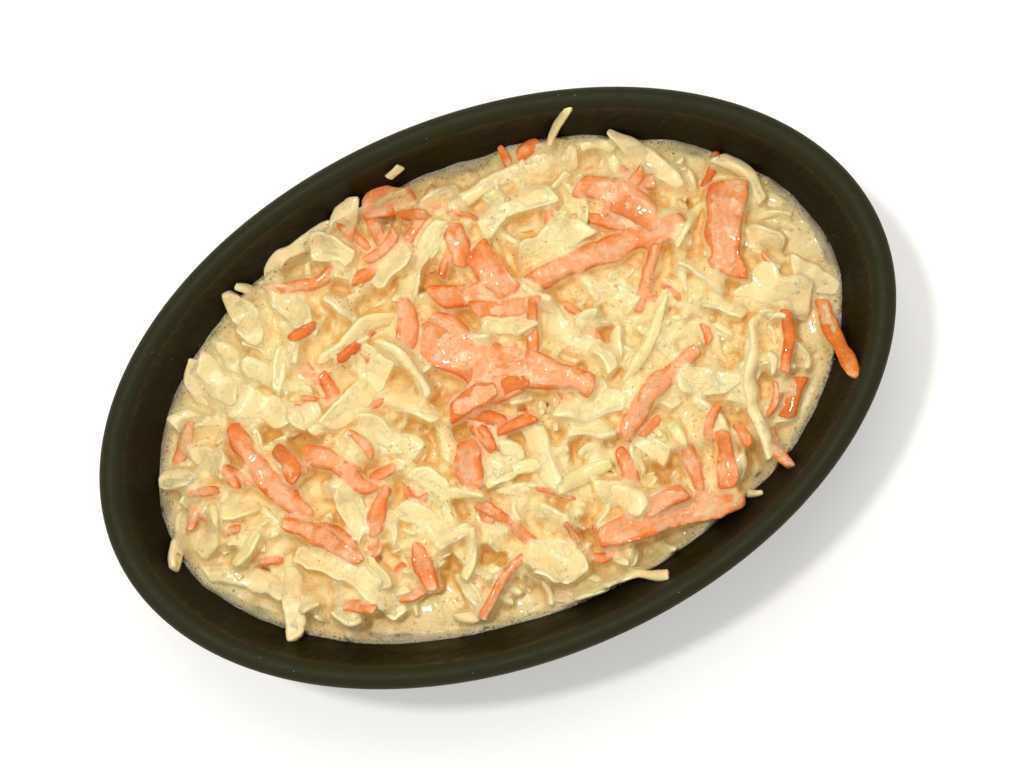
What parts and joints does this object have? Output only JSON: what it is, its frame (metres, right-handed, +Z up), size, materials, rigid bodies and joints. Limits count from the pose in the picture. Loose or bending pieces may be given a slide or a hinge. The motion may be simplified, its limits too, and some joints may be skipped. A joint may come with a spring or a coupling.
{
  "type": "coleslaw in an oval bowl",
  "caption": "Creamy cabbage and carrot salad filling a dark oval bowl with a thick round lip; a side dish that stands on a table.",
  "frame": {"origin": "centre of the bowl's foot, on the surface that it stands on", "axes": "+X along the bowl's length, +Y across it, +Z up out of the bowl"},
  "size_m": [0.165, 0.109, 0.044],
  "materials": {
    "bowl": "satin dark olive, faintly speckled, with fine scratches on the lip",
    "dressing": "wet creamy dressing with fine foam bubbles",
    "cabbage": "wet, pale yellow to green, coated in dressing",
    "carrot": "wet orange, pink where dressing covers it"
  },
  "bodies": {
    "root": {"bowl": "bowl", "coleslaw": "dressing", "cabbage_scrap": "cabbage"}
  },
  "joints": []
}
